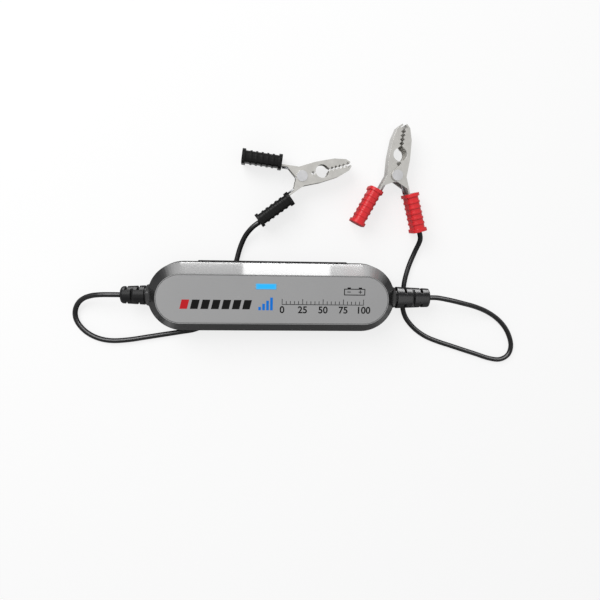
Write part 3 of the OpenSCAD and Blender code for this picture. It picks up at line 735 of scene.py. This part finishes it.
# %% White room
room = bpy.data.worlds.new("white_room")
room.use_nodes = True
bpy.context.scene.world = room
air = Shade(room.node_tree)
ROOM_LIGHT = 0.5
air.plug(room.node_tree.nodes["Background"], {
    "Color": (1.0, 1.0, 1.0, 1.0),
    "Strength": ROOM_LIGHT + (1 - ROOM_LIGHT) * seen_directly(air),
})
bpy.context.scene.view_settings.view_transform = "Standard"
print("room light", ROOM_LIGHT)

# %% [markdown]
# ## Lamps
# The room itself gives most of the light, so shadows stay faint, as in the photograph, and
# one big softbox behind the tester adds a little direction. Black rubber shows hardly more
# than what it mirrors: in the photograph the leads carry a grey streak along the top. A
# stronger softbox would bleach the metal, so a second panel serves the leads alone, and only
# by reflection.

# %% Softbox and streak lamp
SOFTBOX_PLACE, STREAK_PLACE = Vector((-350, 420, 560)), Vector((0, 400, 480))


def panel_lamp(name, place, aim, size, watts):
    """A flat lamp that the camera doesn't see; place and size are in millimetres."""
    data = bpy.data.lights.new(name, "AREA")
    data.shape = "RECTANGLE"
    data.size, data.size_y = (s * MM for s in size)
    data.energy = watts
    lamp = bpy.data.objects.new(name, data)
    lamp.location = Vector(place) * MM
    lamp.rotation_euler = Vector(aim).to_track_quat("-Z", "Y").to_euler()
    lamp.visible_camera = False
    bpy.context.scene.collection.objects.link(lamp)
    return lamp


def only_mirrored_by(pieces, lamps):
    """The lamps serve these pieces alone, and only by reflection."""
    served = bpy.data.collections.new(lamps[0].name + "_pieces")
    for piece in pieces:
        served.objects.link(piece)
    for lamp in lamps:
        lamp.visible_diffuse = False
        lamp.light_linking.receiver_collection = served
    print(len(lamps), "lamp(s) from", lamps[0].name, "on serve", len(pieces), "piece(s)")


panel_lamp("softbox", SOFTBOX_PLACE, -SOFTBOX_PLACE, (500, 500), 4.2)
streak_lamp = panel_lamp("streak_lamp", STREAK_PLACE, -STREAK_PLACE, (1700, 520), 44.0)
only_mirrored_by(leads.values(), [streak_lamp])

# %% [markdown]
# ## What the bezel mirrors
# In the photograph the slope at the top shows a bright band, strongest a little right of the
# middle and fading round both ends, with a white line along its outer edge. Seen from above,
# a slope mirrors what stands low beside the housing. So a row of small strip lamps stands
# behind it along its own outline, each as bright as the band is there, and one long strip
# below them makes the white line. A few dim ones in front give the lower corners their faint
# shine. Like the streak lamp they serve one kind of piece alone, so they neither light the
# bench nor show in the metal of the clips.

# %% Strip lamps behind the housing
STRIP_DISTANCE, STRIP_FOOT, LINE_TOP, STRIP_TOP = 28.0, 2.0, 8.5, 17.0
FORWARD, LINE_RADIANCE, BAND_RADIANCE = (0, -1), 26.0, 15.0
LINE_X, LINE_LENGTH = -0.5, 93.0
BAND_STRIPS = [(-29.2, 28.6, 0.385), (7.0, 44.0, 1.0), (36.2, 14.6, 0.5)]  # x, width, level


def watts_for(radiance, size):
    """Power that makes a flat lamp of this size look so bright from everywhere."""
    return radiance * math.pi * size[0] * size[1] * MM * MM


def strip_lamp(name, place, aim, width, span, radiance):
    """An upright lamp; its span is the heights of its foot and its top."""
    low, high = span
    size = (width, high - low)
    centre = (*place, (low + high) / 2)
    return panel_lamp(name, centre, (*aim, 0), size, watts_for(radiance, size))


place, span = (LINE_X, STRIP_DISTANCE), (STRIP_FOOT, LINE_TOP)
strips = [strip_lamp("line_strip", place, FORWARD, LINE_LENGTH, span, LINE_RADIANCE)]
for x, width, level in BAND_STRIPS:
    place, span, radiance = (x, STRIP_DISTANCE), (LINE_TOP, STRIP_TOP), BAND_RADIANCE * level
    strips.append(strip_lamp("band_strip", place, FORWARD, width, span, radiance))
print(len(strips), "strips behind the housing")

# %% Strips round the ends: which end, first angle, way round, levels
STRIP_TURN = 6.0
END_STRIPS = [
    (-1, 93, 1, [0.36, 0.33, 0.3, 0.25, 0.18, 0.1, 0.025, 0.008]),
    (1, 87, -1, [0.48, 0.42, 0.35, 0.27, 0.2, 0.14, 0.115, 0.08, 0.04, 0.015]),
    (-1, 219, 1, [0.003, 0.003, 0.004, 0.016, 0.02, 0.011, 0.002]),
    (1, -18, -1, [0.0155, 0.015, 0.014, 0.0125, 0.011, 0.009, 0.006, 0.003]),
]
width, span = STRIP_DISTANCE * math.radians(STRIP_TURN), (STRIP_FOOT, STRIP_TOP)
for end, first, way, levels in END_STRIPS:
    for k, level in enumerate(levels):
        turn = math.radians(first + way * STRIP_TURN * k)
        out = Vector((math.cos(turn), math.sin(turn)))
        place = (end * END_CENTRE + STRIP_DISTANCE * out.x, STRIP_DISTANCE * out.y)
        strips.append(strip_lamp("end_strip", place, -out, width, span, BAND_RADIANCE * level))
only_mirrored_by([nodes["front_bezel"]], strips)

# %% [markdown]
# ## What the strain reliefs mirror
# The strain reliefs are round, so each shows its surroundings squeezed together: near the top
# edge a line of what stands low behind it, and over its middle a dim patch of what hangs
# above it. The photograph has both, brighter on the right.

# %% Line and ceiling lamps: x, radiance of the line, y and radiance of the ceiling
RELIEF_LIGHT = {"negative": (-68.0, 11.0, 150.0, 0.9), "positive": (71.0, 30.0, -160.0, 5.8)}
RELIEF_WIDTH, RELIEF_SPAN = 36.0, (0.5, 20.0)
CEILING_SIZE, CEILING_HEIGHT = (300.0, 600.0), 300.0
for side, (x, line, y, ceiling) in RELIEF_LIGHT.items():
    low_lamp = strip_lamp(
        side + "_relief_line", (x, STRIP_DISTANCE), FORWARD, RELIEF_WIDTH, RELIEF_SPAN, line)
    watts = watts_for(ceiling, CEILING_SIZE)
    high_lamp = panel_lamp(
        side + "_relief_ceiling", (x, y, CEILING_HEIGHT), (0, 0, -1), CEILING_SIZE, watts)
    only_mirrored_by([nodes[side + "_strain_relief"]], [low_lamp, high_lamp])
